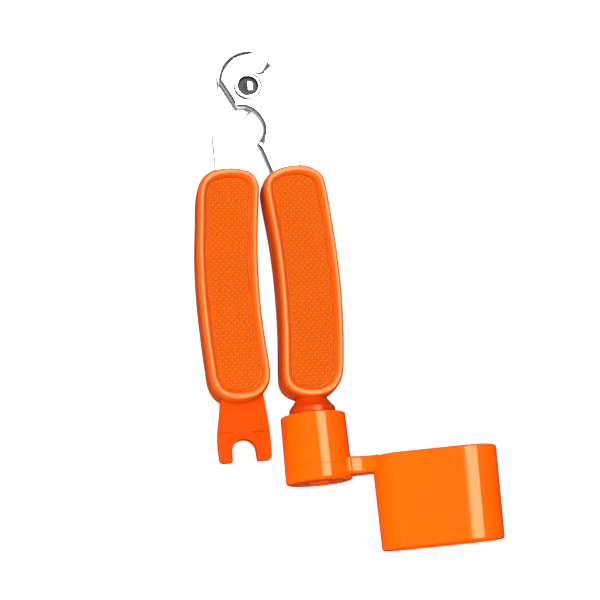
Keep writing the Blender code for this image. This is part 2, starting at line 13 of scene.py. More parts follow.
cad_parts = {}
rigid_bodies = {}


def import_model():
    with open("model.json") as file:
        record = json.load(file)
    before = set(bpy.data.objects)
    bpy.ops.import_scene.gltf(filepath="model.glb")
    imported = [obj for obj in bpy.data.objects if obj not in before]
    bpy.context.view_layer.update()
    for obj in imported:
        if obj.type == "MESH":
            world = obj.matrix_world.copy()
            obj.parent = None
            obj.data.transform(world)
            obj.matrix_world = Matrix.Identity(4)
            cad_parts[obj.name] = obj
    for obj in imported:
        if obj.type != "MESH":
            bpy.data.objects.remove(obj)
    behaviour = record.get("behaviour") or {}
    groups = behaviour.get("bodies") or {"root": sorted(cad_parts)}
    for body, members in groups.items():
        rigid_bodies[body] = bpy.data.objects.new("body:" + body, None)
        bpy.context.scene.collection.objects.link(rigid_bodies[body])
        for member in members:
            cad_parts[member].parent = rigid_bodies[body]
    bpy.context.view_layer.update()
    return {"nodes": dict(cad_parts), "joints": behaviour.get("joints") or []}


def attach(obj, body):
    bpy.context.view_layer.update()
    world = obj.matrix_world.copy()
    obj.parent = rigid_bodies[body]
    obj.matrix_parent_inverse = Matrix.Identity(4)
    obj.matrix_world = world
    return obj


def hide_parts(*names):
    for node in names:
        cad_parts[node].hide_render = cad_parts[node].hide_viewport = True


for _old in list(bpy.data.objects):
    bpy.data.objects.remove(_old, do_unlink=True)
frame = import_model()

MM = 0.001
PIVOT = Vector(next(j["pos_m"] for j in frame["joints"] if j["name"] == "cutter_pivot"))
AXIS_X = 10.8                    # swivel axis of the winder, from the pivot
SWIVEL = math.radians(12.0)      # how far the winder stands turned up at rest
GAP = 0.3
work = bpy.data.collections.new("pieces")
bpy.context.scene.collection.children.link(work)
tools = bpy.data.collections.new("tools")
bpy.context.scene.collection.children.link(tools)


# ------------------------------------------------------------------ outlines
def arc(c, r, a0, a1, n):
    return [(c[0] + r * math.cos(math.radians(a0 + (a1 - a0) * i / n)),
             c[1] + r * math.sin(math.radians(a0 + (a1 - a0) * i / n))) for i in range(n + 1)]


def smooth(pts, n=6, closed=False):
    out, count = [], len(pts)
    for i in range(count if closed else count - 1):
        p = [pts[(i + k) % count] if closed else pts[min(max(i + k, 0), count - 1)] for k in (-1, 0, 1, 2)]
        for s in range(n):
            t = s / n
            out.append(tuple(0.5 * (2 * p[1][d] + (p[2][d] - p[0][d]) * t
                                    + (2 * p[0][d] - 5 * p[1][d] + 4 * p[2][d] - p[3][d]) * t * t
                                    + (3 * p[1][d] - p[0][d] - 3 * p[2][d] + p[3][d]) * t ** 3) for d in (0, 1)))
    if not closed:
        out.append(pts[-1])
    return out


def mirror_about(pts, degrees):
    a = math.radians(2 * degrees)
    return [(x * math.cos(a) + y * math.sin(a), x * math.sin(a) - y * math.cos(a)) for x, y in pts]


def area(pts):
    return sum(a[0] * b[1] - b[0] * a[1] for a, b in zip(pts, pts[1:] + pts[:1])) / 2


def inset(pts, d):
    sign = 1 if area(pts) > 0 else -1
    out, n = [], len(pts)
    for i in range(n):
        a, b, c = (Vector(pts[(i + k) % n]) for k in (-1, 0, 1))
        u, v = (b - a).normalized(), (c - b).normalized()
        m = (u + v).normalized()
        nrm = Vector((-m.y, m.x)) * sign
        q = b + nrm * d / max(0.6, abs(m.dot(u)))
        out.append((q.x, q.y))
    return out


def bevelled(pts, full, least):
    """The outline moved in by the bevel's width: full where the edge looks left, up or down, least where it looks
    right, and less where the metal is too narrow for it."""
    sign = 1 if area(pts) > 0 else -1
    p = np.array(pts, float)
    before, after = np.roll(p, 1, 0), np.roll(p, -1, 0)
    u = (p - before) / np.linalg.norm(p - before, axis=1)[:, None]
    v = (after - p) / np.linalg.norm(after - p, axis=1)[:, None]
    m = u + v
    m /= np.linalg.norm(m, axis=1)[:, None]
    inward = np.stack([-m[:, 1], m[:, 0]], 1) * sign
    mitre = 1 / np.maximum(0.7, np.abs((m * u).sum(1)))
    t = np.clip((-inward[:, 0] - 0.35) / 0.3, 0, 1)
    width = full + 0.62 * np.clip(-inward[:, 1], 0, 1) + 0.2 * np.clip(inward[:, 0], 0, 1)      # the jaw's upper edges are ground back further
    width = width + (least - width) * t * t * (3 - 2 * t)
    for _ in range(14):
        q = p + inward * (width * mitre)[:, None]
        near = np.full(len(p), 1e9)
        for a, b in zip(p, after):
            ab = b - a
            k = np.clip(((q - a) @ ab) / (ab @ ab), 0, 1)
            near = np.minimum(near, np.hypot(q[:, 0] - a[0] - k * ab[0], q[:, 1] - a[1] - k * ab[1]))
        tight = near < 0.97 * width
        if not tight.any():
            break
        tight |= np.roll(tight, 1) | np.roll(tight, -1)
        width = np.where(tight, width * 0.85, width)
    return [(float(x), float(y)) for x, y in p + inward * (width * mitre)[:, None]]


def clean(pts, least=0.04):
    out = []
    for p in pts:
        if not out or math.dist(p, out[-1]) > least:
            out.append(p)
    if math.dist(out[0], out[-1]) <= least:
        out.pop()
    return out


def even(pts, step):
    """The closed outline resampled at an even spacing."""
    p = np.array(pts + pts[:1], float)
    along = np.concatenate([[0], np.cumsum(np.linalg.norm(np.diff(p, axis=0), axis=1))])
    n = max(12, int(round(along[-1] / step)))
    at = np.linspace(0, along[-1], n, endpoint=False)
    return [(float(x), float(y)) for x, y in zip(np.interp(at, along, p[:, 0]), np.interp(at, along, p[:, 1]))]


# ------------------------------------------------------------------ solids, in mm from the pivot
def from_bm(name, bm, coll=None):
    bmesh.ops.recalc_face_normals(bm, faces=bm.faces)
    me = bpy.data.meshes.new(name)
    bm.to_mesh(me)
    bm.free()
    ob = bpy.data.objects.new(name, me)
    (coll or work).objects.link(ob)
    return ob


def loft(name, loops, coll=None, close=True):
    """A closed solid through loops of the same number of 3-D points; the first and last are capped."""
    bm = bmesh.new()
    rings = [[bm.verts.new(p) for p in loop] for loop in loops]
    for a, b in zip(rings, rings[1:]):
        n = len(a)
        for i in range(n):
            bm.faces.new((a[i], a[(i + 1) % n], b[(i + 1) % n], b[i]))
    if close:
        caps = [bm.faces.new(ring) for ring in (rings[0], rings[-1])]
        for cap in caps:
            cap.normal_update()
        bmesh.ops.triangulate(bm, faces=caps, quad_method="BEAUTY", ngon_method="EAR_CLIP")
    return from_bm(name, bm, coll)


def plate(name, pts, z0, z1, coll=None, top=0.0, bottom=0.0, rows=4, bevel=0.0):
    """A flat outline raised from z0 to z1, its upper and lower edges rounded by top and bottom, or its upper edge
    cut off at 45 degrees by bevel."""
    loops = []
    for k in range(rows + 1 if bottom else 1):
        a = math.radians(90 * k / rows)
        d = bottom * (1 - math.sin(a)) if bottom else 0
        z = z0 + bottom * (1 - math.cos(a)) if bottom else z0
        loops.append([(x, y, z) for x, y in (inset(pts, d) if d > 1e-4 else pts)])
    if bevel:
        loops.append([(x, y, z1 - bevel) for x, y in pts])
        loops.append([(x, y, z1) for x, y in bevelled(pts, bevel, 0.12)])
        return loft(name, loops, coll)
    for k in range(rows + 1 if top else 1):
        a = math.radians(90 * k / rows)
        d = top * (1 - math.cos(a)) if top else 0
        z = z1 - top * (1 - math.sin(a)) if top else z1
        loops.append([(x, y, z) for x, y in (inset(pts, d) if d > 1e-4 else pts)])
    return loft(name, loops, coll)


def rod(name, r, at, z0, z1, coll=None, segments=48):
    ring = [(at[0] + r * math.cos(2 * math.pi * i / segments), at[1] + r * math.sin(2 * math.pi * i / segments))
            for i in range(segments)]
    return loft(name, [[(x, y, z0) for x, y in ring], [(x, y, z1) for x, y in ring]], coll)


def turned(name, profile, axis="Z", at=(0.0, 0.0, 0.0), steps=96, coll=None):
    """A closed profile of (radius, height) turned about Z, or about the line along Y through at."""
    bm = bmesh.new()
    rings = []
    for r, h in profile:
        if r < 1e-6:
            rings.append([bm.verts.new((at[0], at[1] + h, at[2]) if axis == "Y" else (at[0], at[1], at[2] + h))])
            continue
        ring = []
        for i in range(steps):
            a = 2 * math.pi * i / steps
            ring.append(bm.verts.new((at[0] + r * math.cos(a), at[1] + h, at[2] + r * math.sin(a)) if axis == "Y"
                                     else (at[0] + r * math.cos(a), at[1] + r * math.sin(a), at[2] + h)))
        rings.append(ring)
    for a, b in zip(rings, rings[1:]):
        if len(a) == 1 and len(b) == 1:
            continue
        for i in range(steps):
            j = (i + 1) % steps
            if len(a) == 1:
                bm.faces.new((a[0], b[j], b[i]))
            elif len(b) == 1:
                bm.faces.new((a[i], a[j], b[0]))
            else:
                bm.faces.new((a[i], a[j], b[j], b[i]))
    if profile[0] == profile[-1]:
        bmesh.ops.remove_doubles(bm, verts=bm.verts, dist=1e-5)
    return from_bm(name, bm, coll)


def box(name, lo, hi, coll=None):
    bm = bmesh.new()
    bmesh.ops.create_cube(bm, size=1.0)
    for v in bm.verts:
        v.co = Vector([(lo[i] + hi[i]) / 2 + v.co[i] * (hi[i] - lo[i]) for i in range(3)])
    return from_bm(name, bm, coll)


def combine(ob, others, operation):
    """A Boolean applied at once; the other pieces are used up."""
    for other in others:
        m = ob.modifiers.new("b", "BOOLEAN")
        m.operation, m.solver, m.object = operation, "EXACT", other
    bpy.context.view_layer.update()
    graph = bpy.context.evaluated_depsgraph_get()
    me = bpy.data.meshes.new_from_object(ob.evaluated_get(graph))
    ob.modifiers.clear()
    old = ob.data
    ob.data = me
    bpy.data.meshes.remove(old)
    for other in others:
        bpy.data.objects.remove(other, do_unlink=True)
    return ob


def cut(ob, *others):
    return combine(ob, others, "DIFFERENCE")


def join(ob, *others):
    return combine(ob, others, "UNION")


def rounded_profile(points, n=6):
    """A profile of (radius, height, corner) with its corners rounded; the first and last points stay."""
    out = [points[0][:2]]
    for i in range(1, len(points) - 1):
        a, b, c = Vector(points[i - 1][:2]), Vector(points[i][:2]), Vector(points[i + 1][:2])
        r = points[i][2] if len(points[i]) > 2 else 0.0
        if r <= 0:
            out.append(tuple(b))
            continue
        u, v = (a - b), (c - b)
        r = min(r, 0.49 * u.length, 0.49 * v.length)
        p, q = b + u.normalized() * r, b + v.normalized() * r
        for k in range(n + 1):
            t = k / n
            w = p * (1 - t) ** 2 + b * 2 * t * (1 - t) + q * t * t
            out.append(tuple(w))
    out.append(points[-1][:2])
    return out


def done(ob, body, nodes, mats, sharp=32.0, turn=False, weighted=True, walls=False):
    """Places the piece in the row frame, in metres, and hangs it on its body."""
    if turn:
        ob.data.transform(Matrix.Translation((AXIS_X, 0, 0)) @ Matrix.Rotation(-SWIVEL, 4, "Y")
                          @ Matrix.Translation((-AXIS_X, 0, 0)))
    ob.data.transform(Matrix.Translation(PIVOT) @ Matrix.Scale(MM, 4))
    me = ob.data
    me.materials.clear()
    for m in mats:
        me.materials.append(m)
    if walls:                    # the sheared walls of a stamping take the second material
        for p in me.polygons:
            p.material_index = 1 if abs(p.normal.z) < 0.35 else 0
    me.shade_smooth()
    me.set_sharp_from_angle(angle=math.radians(sharp))
    if weighted:
        w = ob.modifiers.new("face_weighted", "WEIGHTED_NORMAL")
        w.keep_sharp = True
        w.weight = 60
    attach(ob, body)
    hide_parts(*nodes)
    return ob


# ------------------------------------------------------------------ materials
def nodes_of(name):
    m = bpy.data.materials.new(name)
    m.use_nodes = True
    nt = m.node_tree
    return m, nt, nt.nodes["Principled BSDF"]


def n_(nt, kind, **values):
    node = nt.nodes.new(kind)
    for key, value in values.items():
        if key in node.inputs:
            node.inputs[key].default_value = value
        else:
            setattr(node, key, value)
    return node


def noise(nt, scale, detail=3.0, rough=0.5, vector=None, stretch=None):
    tex = n_(nt, "ShaderNodeTexCoord")
    source = tex.outputs["Object"]
    if stretch:
        mp = n_(nt, "ShaderNodeMapping")
        mp.inputs["Scale"].default_value = stretch
        nt.links.new(source, mp.inputs["Vector"])
        source = mp.outputs["Vector"]
    no = n_(nt, "ShaderNodeTexNoise", Scale=scale, Detail=detail, Roughness=rough)
    nt.links.new(source, no.inputs["Vector"])
    return no


def ranged(nt, out, lo, hi, a=0.3, b=0.7):
    mr = n_(nt, "ShaderNodeMapRange")
    mr.inputs["From Min"].default_value, mr.inputs["From Max"].default_value = a, b
    mr.inputs["To Min"].default_value, mr.inputs["To Max"].default_value = lo, hi
    nt.links.new(out, mr.inputs["Value"])
    return mr.outputs["Result"]


def plastic(name, colour, deep, rough, spread, tint, specular, grain, grain_size, coat=0.0):
    """Moulded plastic: slow variation of the pigment, a fine moulded grain and roughness that wanders a little."""
    m, nt, b = nodes_of(name)
    flow = noise(nt, 45.0, 2.0, 0.5)
    mix = n_(nt, "ShaderNodeMix", data_type="RGBA")
    mix.inputs["A"].default_value = (*deep, 1)
    mix.inputs["B"].default_value = (*colour, 1)
    nt.links.new(ranged(nt, flow.outputs["Fac"], 0.0, 1.0, 0.32, 0.62), mix.inputs["Factor"])
    nt.links.new(mix.outputs["Result"], b.inputs["Base Color"])
    smear = noise(nt, 260.0, 3.0, 0.6)
    nt.links.new(ranged(nt, smear.outputs["Fac"], rough - spread, rough + spread), b.inputs["Roughness"])
    fine = noise(nt, grain_size, 2.0, 0.55)
    bump = n_(nt, "ShaderNodeBump", Strength=grain, Distance=0.00005)
    nt.links.new(fine.outputs["Fac"], bump.inputs["Height"])
    nt.links.new(bump.outputs["Normal"], b.inputs["Normal"])
    b.inputs["Specular IOR Level"].default_value = specular
    b.inputs["Specular Tint"].default_value = (*tint, 1)
    b.inputs["Coat Weight"].default_value = coat
    b.inputs["Coat Roughness"].default_value = 0.06
    return m


def metal(name, light, dark, rough, spread, stretch, scale, strength):
    """Ground or plated metal: fine lines along one direction in brightness, roughness and relief."""
    m, nt, b = nodes_of(name)
    b.inputs["Metallic"].default_value = 1.0
    lines = noise(nt, scale, 4.0, 0.65, stretch=stretch)
    mix = n_(nt, "ShaderNodeMix", data_type="RGBA")
    mix.inputs["A"].default_value = (*dark, 1)
    mix.inputs["B"].default_value = (*light, 1)
    nt.links.new(ranged(nt, lines.outputs["Fac"], 0.0, 1.0), mix.inputs["Factor"])
    nt.links.new(mix.outputs["Result"], b.inputs["Base Color"])
    nt.links.new(ranged(nt, lines.outputs["Fac"], rough + spread, rough - spread), b.inputs["Roughness"])
    bump = n_(nt, "ShaderNodeBump", Strength=strength, Distance=0.00002)
    nt.links.new(lines.outputs["Fac"], bump.inputs["Height"])
    nt.links.new(bump.outputs["Normal"], b.inputs["Normal"])
    return m


TINT = (1.0, 0.72, 0.40)
PAD_Z = 5.12                     # pad surface between its pimples, mm from the pivot
PIMPLE_H, PIMPLE_R = 0.42, 0.68
gloss_orange = plastic("gloss_orange", (0.98, 0.103, 0.0004), (0.95, 0.094, 0.0003), 0.075, 0.015, TINT, 0.5, 0.04, 900.0)
satin_orange = plastic("satin_orange", (0.70, 0.082, 0.0008), (0.66, 0.074, 0.0006), 0.20, 0.03, TINT, 0.5, 0.10, 2600.0)
fork_orange = plastic("fork_orange", (0.62, 0.051, 0.0003), (0.58, 0.047, 0.0002), 0.50, 0.05, TINT, 0.03, 0.12, 2200.0)
# a darker copy of the moulded orange for the neck: painted shade for the recess it sits in under the grip
neck_orange_painted_shade = plastic("neck_orange_painted_shade", (0.58, 0.040, 0.0006), (0.54, 0.036, 0.0005), 0.24, 0.03, TINT, 0.4, 0.08, 2200.0)
pad_orange = plastic("pad_orange", (0.60, 0.094, 0.0008), (0.56, 0.086, 0.0006), 0.44, 0.05, TINT, 0.11, 0.20, 3200.0)


def paint_shade_by_height(mat, low, high):
    """Painted shading on the pad: by height, its valleys are darkened and its pimples' tops lightened, standing in for
    the shade and highlight that light gives them.
    """
    nt = mat.node_tree
    tex = n_(nt, "ShaderNodeTexCoord")
    split = n_(nt, "ShaderNodeSeparateXYZ")
    nt.links.new(tex.outputs["Object"], split.inputs["Vector"])
    off = n_(nt, "ShaderNodeMath", operation="SUBTRACT")
    off.inputs[1].default_value = PIVOT.z
    nt.links.new(split.outputs["Z"], off.inputs[0])
    up = n_(nt, "ShaderNodeMath", operation="ABSOLUTE")
    nt.links.new(off.outputs["Value"], up.inputs[0])
    part = ranged(nt, up.outputs["Value"], 0.0, 1.0, (PAD_Z + 0.02) * MM, (PAD_Z + PIMPLE_H) * MM)
    base = nt.nodes["Principled BSDF"].inputs["Base Color"]
    old = base.links[0].from_socket
    mix = n_(nt, "ShaderNodeMix", data_type="RGBA", blend_type="MULTIPLY")
    mix.inputs["Factor"].default_value = 1.0
    # painted shade in the valleys (low) to painted highlight on the pimples' tops (high)
    shade = n_(nt, "ShaderNodeMix", data_type="RGBA")
    shade.inputs["A"].default_value = (*low, 1)
    shade.inputs["B"].default_value = (*high, 1)
    nt.links.new(part, shade.inputs["Factor"])
    nt.links.new(old, mix.inputs["A"])
    nt.links.new(shade.outputs["Result"], mix.inputs["B"])
    nt.links.new(mix.outputs["Result"], base)


steel = metal("ground_steel", (0.90, 0.90, 0.91), (0.84, 0.84, 0.85), 0.20, 0.05, (0.06, 1.0, 1.0), 2600.0, 0.08)
edge_steel = metal("sheared_steel_edge", (0.74, 0.73, 0.72), (0.56, 0.55, 0.54), 0.36, 0.08, (1.0, 1.0, 0.05), 1800.0, 0.25)
edge_steel.node_tree.nodes["Principled BSDF"].inputs["Metallic"].default_value = 0.35
chrome = metal("bright_chrome", (0.82, 0.82, 0.83), (0.76, 0.76, 0.78), 0.12, 0.02, (1.0, 1.0, 1.0), 1200.0, 0.03)
zinc = metal("zinc_plate", (0.62, 0.63, 0.65), (0.48, 0.49, 0.52), 0.34, 0.08, (1.0, 1.0, 1.0), 1500.0, 0.2)

# painted shading on the pads: darker valleys and brighter pimple tops
paint_shade_by_height(pad_orange, (0.80, 0.68, 0.60), (1.12, 1.22, 1.2))

# ------------------------------------------------------------------ blades
BLADE_T, BLADE_Z = 2.4, 0.15
TANG_END = -62.0
NOTCH = [(3.75, 11.6), (2.8, 10.1), (2.05, 8.4), (1.95, 7.3), (2.3, 6.1), (3.2, 5.4), (4.3, 5.2), (5.3, 5.8),
         (6.1, 6.9), (7.1, 8.6)]
HOOK = [(7.8, 9.8), (8.4, 10.1), (9.0, 9.5)]
front_outline = (
    [(3.3, 12.4)] + arc((1.6, 2.0), 10.8, 87, 178, 40)
    + smooth([(-8.35, 0.9), (-4.75, -6.0), (-4.2, -6.65), (-3.2, -6.85), (-1.2, -6.95)], 5)
    + smooth([(0.9, -8.1), (2.6, -10.0), (3.8, -12.4), (4.15, -14.8), (3.4, -17.4), (1.5, -20.2)], 8)
    + smooth([(2.5, -22.2), (3.7, -26.0), (5.3, -31.5), (6.4, -38.0), (6.8, -48.0), (7.0, TANG_END)], 6)
    + smooth([(15.6, TANG_END), (15.8, -48.0), (14.9, -36.0), (14.1, -28.2), (14.25, -18.5), (13.9, -10.2),
              (12.8, -6.3), (11.4, -3.7), (10.5, -0.8), (10.3, 2.2), (10.2, 5.2), (9.7, 8.0)], 8)
    + smooth(HOOK[::-1], 6) + smooth(NOTCH[::-1], 8))
rear_outline = (
    mirror_about(smooth(NOTCH, 3)[::-1], 85.0)[::-1][:-4]
    + [(-5.75, 9.55), (-6.4, 9.5)]
    + smooth([(-7.9, 8.2), (-9.2, 6.2), (-9.65, 3.6), (-9.5, 0.6), (-10.5, -3.8), (-11.6, -6.7), (-12.45, -11.6),
              (-12.75, -18.2), (-12.7, -27.0), (-13.6, -36.0), (-14.6, -48.0), (-14.9, TANG_END)], 8)
    + smooth([(-6.3, TANG_END), (-6.0, -48.0), (-5.0, -38.0), (-3.2, -31.0), (-1.5, -25.3), (0.5, -19.2)], 6)
    + smooth([(-0.8, -17.3), (-2.0, -15.0), (-2.25, -12.4), (-1.6, -10.0), (-0.2, -8.0), (1.6, -6.8)], 8)
    + [(4.0, -6.7), (5.2, -5.9), (8.8, 1.5)]
    + smooth([(9.6, 2.6), (9.7, 6.0), (9.2, 9.2), (8.0, 11.1), (4.2, 12.8), (1.0, 12.7), (-1.2, 12.45)], 6))


front = plate("front_blade_ground", clean(front_outline), BLADE_Z, BLADE_Z + BLADE_T, bevel=0.55, bottom=0.08, rows=3)
cut(front, rod("hole", 1.9, (0, 0), -1, 6, tools), rod("hole_a", 1.8, (11.2, -40), -1, 6, tools),
    rod("hole_b", 1.8, (11.2, -55), -1, 6, tools))
done(front, "right_handle", ["front_blade"], [steel, edge_steel], 28, walls=True)
rear = plate("rear_blade_ground", clean(rear_outline), -BLADE_Z - BLADE_T, -BLADE_Z, top=0.12, bottom=0.25, rows=4)
cut(rear, rod("hole", 1.9, (0, 0), -6, 1, tools), rod("hole_a", 1.8, (-9.9, -40), -6, 1, tools),
    rod("hole_b", 1.8, (-9.9, -55), -6, 1, tools))
done(rear, "left_handle", ["rear_blade"], [steel, edge_steel], 28, walls=True)

# ------------------------------------------------------------------ pivot
stack = BLADE_Z + BLADE_T
wf = turned("pivot_washer_front_dished", rounded_profile([
    (1.9, stack + 0.3), (1.9, stack + 0.62), (4.1, stack + 0.62, 0.08), (4.58, stack + 0.77, 0.04), (4.7, stack + 0.66, 0.05),
    (4.7, stack + 0.3), (1.9, stack + 0.3)], 5))
done(wf, "right_handle", ["pivot_washer_front"], [chrome], 40)
wr = turned("pivot_washer_rear_dished", rounded_profile([
    (1.9, -stack - 0.3), (4.7, -stack - 0.3), (4.7, -stack - 0.75, 0.25), (4.35, -stack - 1.1, 0.3), (1.9, -stack - 1.1),
    (1.9, -stack - 0.3)], 5))
done(wr, "right_handle", ["pivot_washer_rear"], [chrome], 40)
DOME_R, DOME_H = 3.5, 1.35
seat = stack + 0.95
ball = (DOME_R ** 2 + DOME_H ** 2) / (2 * DOME_H)
dome = [(ball * math.sin(t), seat + DOME_H - ball * (1 - math.cos(t)))
        for t in [math.asin(DOME_R / ball) * i / 16 for i in range(17)]]
rivet = turned("pivot_rivet_polished", dome + rounded_profile([
    (DOME_R, seat - 0.03), (DOME_R, stack + 0.66, 0.1), (1.6, stack + 0.66), (1.6, -seat), (2.7, -seat, 0.1),
    (2.55, -seat - 0.5, 0.3), (1.9, -seat - 0.9, 0.5), (0.0, -seat - 1.0)], 5))
done(rivet, "right_handle", ["pivot_rivet"], [chrome], 40)

# ------------------------------------------------------------------ grips
GRIP_TOP, GRIP_BOTTOM = -29.2, -105.1


def grip_sketch(side):
    t, b = GRIP_TOP, GRIP_BOTTOM
    if side < 0:
        return [(-9.3, t), (-14.3, t - 0.75), (-18.0, t - 3.2), (-19.75, t - 7.6), (-20.7, -46.0), (-21.8, -58.0),
                (-22.15, -70.0), (-21.85, -82.0), (-21.25, -93.0), (-20.75, b + 6.4), (-18.9, b + 2.6),
                (-15.6, b + 0.5), (-11.2, b), (-6.6, b + 0.9), (-3.1, b + 4.0), (-1.85, b + 8.6), (-2.45, -86.0),
                (-2.85, -74.0), (-2.4, -61.0), (-1.35, -49.0), (-0.05, t - 9.3), (0.1, t - 5.9), (-1.35, t - 2.6),
                (-4.6, t - 0.6)]
    return [(12.9, t + 0.3), (8.2, t - 0.3), (4.3, t - 2.1), (1.85, t - 5.0), (1.55, t - 9.3), (2.65, -51.0),
            (3.2, -62.0), (3.15, -74.0), (2.65, -85.0), (1.75, -95.5), (1.75, b + 5.1), (3.3, b + 2.3),
            (6.6, b + 0.4), (10.7, b - 0.3), (15.0, b + 0.2), (18.6, b + 2.4), (20.9, b + 6.6),
            (22.1, -90.0), (22.95, -80.0), (23.4, -69.0), (23.25, -57.0), (22.6, -44.0), (21.95, t - 6.3),
            (20.9, t - 3.0), (17.4, t - 0.6)]


def grip_ring(side, d):
    """The grip's outline moved inwards by d, with the same number of points at every d."""
    base = even(smooth(grip_sketch(side), 8, closed=True), 1.0)
    if d > 1e-6:
        # moved in small steps, each one relaxed, so that tight corners don't fold
        steps = max(1, int(math.ceil(d / 0.5)))
        for _ in range(steps):
            base = inset(base, d / steps)
            p = np.array(base)
            p = 0.5 * p + 0.25 * (np.roll(p, 1, 0) + np.roll(p, -1, 0))
            base = [tuple(q) for q in p]
    return [tuple(float(v) for v in q) for q in base]


# rim section: distance in from the outline, height
RIM = [(0.05, 0.15), (0.0, 0.35), (0.0, 2.4), (0.04, 3.7), (0.12, 4.6), (0.24, 5.2), (0.4, 5.6), (0.6, 5.86), (0.85, 5.97),
       (1.3, 6.0), (1.75, 5.97), (2.1, 5.88), (2.45, 5.68), (2.8, 5.36), (2.97, 5.14), (3.07, 4.97), (3.1, 4.7)]
PAD_IN = 3.25                    # where the pad starts
PITCH_X, PITCH_Y = 1.9, 0.97


def grip_shell(name, side, front_face, exits, tang, tang_z):
    f = 1 if front_face else -1
    loops = [[(x, y, f * z) for x, y in grip_ring(side, d)] for d, z in
             [(3.9, 3.5), (3.9, 0.15)] + smooth(RIM, 2)]
    # the loft runs from the pocket's ceiling, round the rim and over to the recess floor
    shell = loft(name, loops)
    cutters_ = [plate("exit", inset(tang, -GAP), tang_z[0], tang_z[1], tools)] + exits
    cut(shell, *cutters_)
    return shell


def pad(name, side, front_face):
    """The grip's pad: a sunk field of low staggered pimples, fading out at its edge."""
    f = 1 if front_face else -1
    ring = np.array(grip_ring(side, PAD_IN))
    y0, y1 = ring[:, 1].min() + 0.02, ring[:, 1].max() - 0.02
    rows, cols = int((y1 - y0) / 0.162) + 1, 100

    def across(y):
        xs = []
        n = len(ring)
        for i in range(n):
            p, q = ring[i], ring[(i + 1) % n]
            if (p[1] > y) != (q[1] > y):
                xs.append(p[0] + (q[0] - p[0]) * (y - p[1]) / (q[1] - p[1]))
        return min(xs), max(xs)

    # rows crowd towards both ends, where the outline turns in fast
    t = np.linspace(0, 1, rows)
    s = t - 0.010 * np.sin(2 * np.pi * t)
    ys = y0 + (y1 - y0) * s
    X, Y = np.zeros((rows, cols)), np.zeros((rows, cols))
    for r, y in enumerate(ys):
        a, b = across(y)
        X[r] = np.linspace(a, b, cols)
        Y[r] = y
    # distance to the outline, for the fade
    seg_a, seg_b = ring, np.roll(ring, -1, 0)
    d = np.full(X.shape, 1e9)
    for a, b in zip(seg_a, seg_b):
        ab = b - a
        u = np.clip(((X - a[0]) * ab[0] + (Y - a[1]) * ab[1]) / (ab @ ab), 0, 1)
        d = np.minimum(d, np.hypot(X - a[0] - u * ab[0], Y - a[1] - u * ab[1]))
    cx = -11.5 if side < 0 else 12.5
    h = np.zeros(X.shape)
    for off in (0, 1):
        gx = (X - cx) / PITCH_X - 0.5 * off
        gy = (Y + 67.0) / (2 * PITCH_Y) - 0.5 * off
        rx, ry = (gx - np.round(gx)) * PITCH_X, (gy - np.round(gy)) * 2 * PITCH_Y
        rr = np.hypot(rx, ry * 1.12) / PIMPLE_R
        h = np.maximum(h, np.clip(1 - rr ** 2, 0, 1) ** 1.3)
    fade = np.clip((d - 0.12) / 0.45, 0, 1)
    fade = fade * fade * (3 - 2 * fade)
    edge = np.clip(d / 0.3, 0, 1)
    Z = PAD_Z + PIMPLE_H * h * fade - 0.14 * (1 - edge) ** 2
    bm = bmesh.new()
    V = [[bm.verts.new((X[r, c], Y[r, c], f * Z[r, c])) for c in range(cols)] for r in range(rows)]
    for r in range(rows - 1):
        for c in range(cols - 1):
            bm.faces.new((V[r][c], V[r][c + 1], V[r + 1][c + 1], V[r + 1][c]))
    border = (V[0] + [V[r][-1] for r in range(1, rows)] + V[-1][-2::-1] + [V[r][0] for r in range(rows - 2, 0, -1)])
    low = [bm.verts.new((v.co.x, v.co.y, f * 4.98)) for v in border]
    n = len(border)
    for i in range(n):
        bm.faces.new((border[i], border[(i + 1) % n], low[(i + 1) % n], low[i]))
    bm.faces.new(low)
    return from_bm(name, bm)


FORK_C, FORK_NOTCH_R, FORK_TIP = (-11.65, -119.95), 3.75, -122.95


def fork_outline():
    c, r = FORK_C, FORK_NOTCH_R
    left = smooth([(-17.0, -96.0), (-17.55, -103.0), (-18.1, -107.3), (-19.15, -113.2), (-19.45, -117.0),
                   (-19.35, FORK_TIP + 1.5)], 6)
    right = smooth([(-3.35, FORK_TIP + 1.3), (-3.25, -117.5), (-3.35, -113.2), (-3.75, -108.0), (-4.25, -103.0),
                    (-4.6, -96.0)], 6)
    return (left + arc((-18.0, FORK_TIP + 1.3), 1.3, 190, 270, 8) + [(c[0] - r - 0.5, FORK_TIP)]
            + arc((c[0] - r - 0.4, FORK_TIP + 0.4), 0.4, 270, 355, 4) + arc(c, r, 180, 0, 40)
            + arc((c[0] + r + 0.6, FORK_TIP + 0.4), 0.4, 185, 270, 4) + arc((-4.65, FORK_TIP + 1.3), 1.3, 270, 350, 8)
            + right)


front_tang = clean([p for p in front_outline if p[1] < -26])
rear_tang = clean([p for p in rear_outline if p[1] < -26])
for side, word, body, tang in ((-1, "left", "left_handle", rear_tang), (1, "right", "right_handle", front_tang)):
    for face in ("front", "back"):
        f = face == "front"
        if side < 0:
            exits = [plate("fork_exit", inset(clean(fork_outline(), 0.06), -GAP), -2.4, 2.4, tools)]
            tz = (-2.85, 0.15)
        else:
            exits = [turned("neck_exit", [(0.0, -95.0), (3.3, -95.0), (3.3, -102.3), (5.05, -102.3), (5.05, -109.0),
                                          (0.0, -109.0)], "Y", (AXIS_X, 0, 0), 64, tools)]
            tz = (-0.15, 2.85)
        shell = grip_shell("%s_grip_%s_shell" % (word, face), side, f, exits, tang, tz)
        done(shell, body, ["%s_grip_%s" % (word, face)], [satin_orange], 50, weighted=False)
        p = pad("%s_pad_%s_pimpled" % (word, face), side, f)
        done(p, body, ["%s_pad_%s" % (word, face)], [pad_orange], 60, weighted=False)

